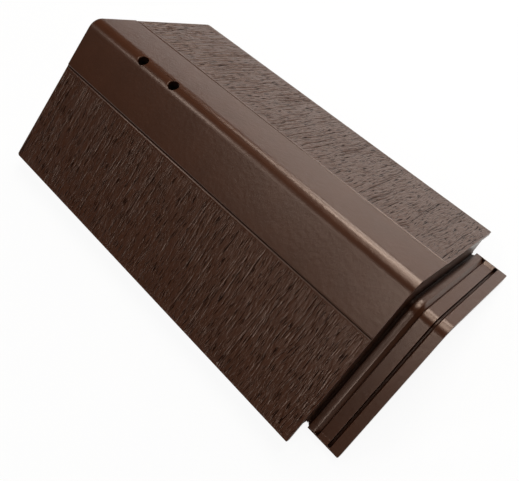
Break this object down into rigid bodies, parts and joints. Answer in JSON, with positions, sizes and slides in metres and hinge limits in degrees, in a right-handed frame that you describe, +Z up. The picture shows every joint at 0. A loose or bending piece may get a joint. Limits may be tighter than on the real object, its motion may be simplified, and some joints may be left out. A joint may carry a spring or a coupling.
{
  "type": "roof ridge cap",
  "caption": "Inverted-V roof ridge cap with wood-grained flanks, a smooth raised crest band, screw holes on the crest and a stepped lap lip at one end.",
  "frame": {"origin": "on the floor under the middle of the cap's box", "axes": "+X along the ridge towards the lap lip, +Y across the ridge, +Z up through the crest"},
  "size_m": [0.45, 0.276, 0.1076],
  "materials": {
    "moulding": "dark brown, satin on the smooth band and lip, fine wood-grain relief on the flanks"
  },
  "bodies": {
    "root": {"ridge_cap": "moulding"}
  },
  "joints": []
}
